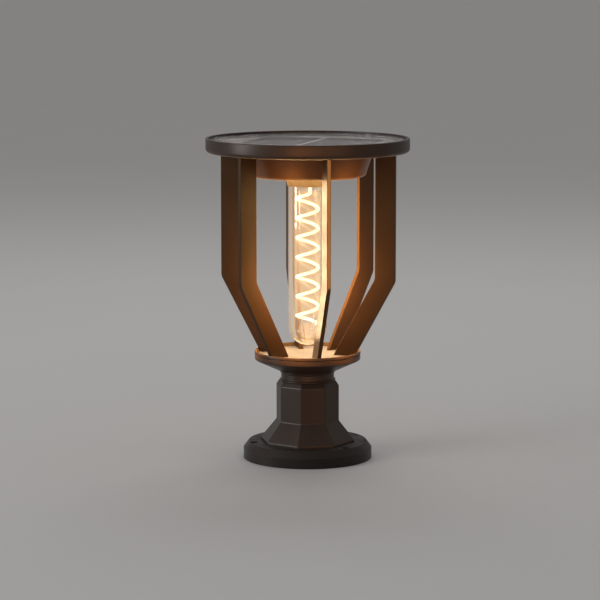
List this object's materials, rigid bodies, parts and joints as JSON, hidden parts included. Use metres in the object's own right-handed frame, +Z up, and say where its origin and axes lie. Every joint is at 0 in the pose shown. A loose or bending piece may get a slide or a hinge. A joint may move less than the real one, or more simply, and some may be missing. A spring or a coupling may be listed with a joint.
{
  "type": "solar gate light",
  "caption": "Post-top solar lantern: round cap with a recessed solar panel, open cage of six flat fins with a knee round a tubular spiral lamp, dish, neck and octagonal post on a round flange.",
  "frame": {"origin": "centre of the base flange's underside", "axes": "+Z up along the light's axis, Y along the panel's centre strip, push button towards +Y"},
  "size_m": [0.2, 0.2, 0.317],
  "materials": {
    "coated_casting": "satin dark bronze powder coat",
    "fin_coat": "satin dark bronze powder coat on sheet",
    "floor_coat": "pale satin coat",
    "plated_steel": "zinc plated",
    "spring_steel": "bright spring steel",
    "seal_rubber": "matte",
    "panel_glass": "lightly textured solar glass",
    "solar_cell": "dark silicon with fine fingers",
    "back_board": "white laminate",
    "black_plastic": "fine moulded grain",
    "holder_plastic": "white moulding",
    "insulator": "vitrified black",
    "nickel_brass": "nickel plated",
    "lamp_glass": "clear blown glass",
    "filament": "warm phosphor, lit",
    "lead_wire": "drawn",
    "battery_wrap": "shrink sleeve",
    "circuit_board": "solder mask",
    "button_plastic": "soft grip",
    "red_lead": "insulation",
    "black_lead": "insulation"
  },
  "bodies": {
    "light": {"base_flange": "coated_casting", "base_gasket": "seal_rubber", "post": "coated_casting", "post_screws": "plated_steel", "tie_bolt": "plated_steel", "tie_washer": "plated_steel", "neck": "coated_casting", "dish": "coated_casting", "floor_plate": "floor_coat", "fin_1": "fin_coat", "fin_2": "fin_coat", "fin_3": "fin_coat", "fin_4": "fin_coat", "fin_5": "fin_coat", "fin_6": "fin_coat", "fin_foot_screws": "plated_steel", "fin_top_screws": "plated_steel", "cap_tray": "coated_casting", "panel_seal": "seal_rubber", "panel_glass": "panel_glass", "solar_cell_left": "solar_cell", "solar_cell_right": "solar_cell", "centre_strip": "back_board", "panel_back_board": "back_board", "panel_junction": "black_plastic", "battery_housing": "coated_casting", "housing_seal": "seal_rubber", "housing_screws": "plated_steel", "lamp_collar": "coated_casting", "collar_nut": "plated_steel", "lamp_holder": "holder_plastic", "holder_sleeve": "nickel_brass", "holder_contact": "nickel_brass", "holder_screws": "plated_steel", "bulb_cap": "nickel_brass", "bulb_insulator": "insulator", "bulb_contact": "nickel_brass", "bulb_glass": "lamp_glass", "glass_stem": "lamp_glass", "filament_foot": "lamp_glass", "spiral_filament": "filament", "filament_tube": "lamp_glass", "support_wires": "lead_wire", "battery_cell_left": "battery_wrap", "battery_cell_right": "battery_wrap", "battery_cradle": "black_plastic", "battery_contacts": "spring_steel", "controller_board": "circuit_board", "board_parts": "black_plastic", "board_screws": "plated_steel", "push_switch": "black_plastic", "button_bush": "spring_steel", "button_spring": "spring_steel", "wire_grommet": "seal_rubber", "panel_leads": "red_lead", "lamp_leads": "black_lead", "battery_leads": "red_lead"},
    "button": {"power_button": "button_plastic"}
  },
  "joints": [
    {"name": "power_button_press", "type": "slide", "parent": "light", "child": "button", "axis": [0, 0, 1], "range_m": [0, 0.0014], "stiffness_N_per_m": 400, "springref_m": -0.001, "deforming": ["button_spring"]}
  ]
}
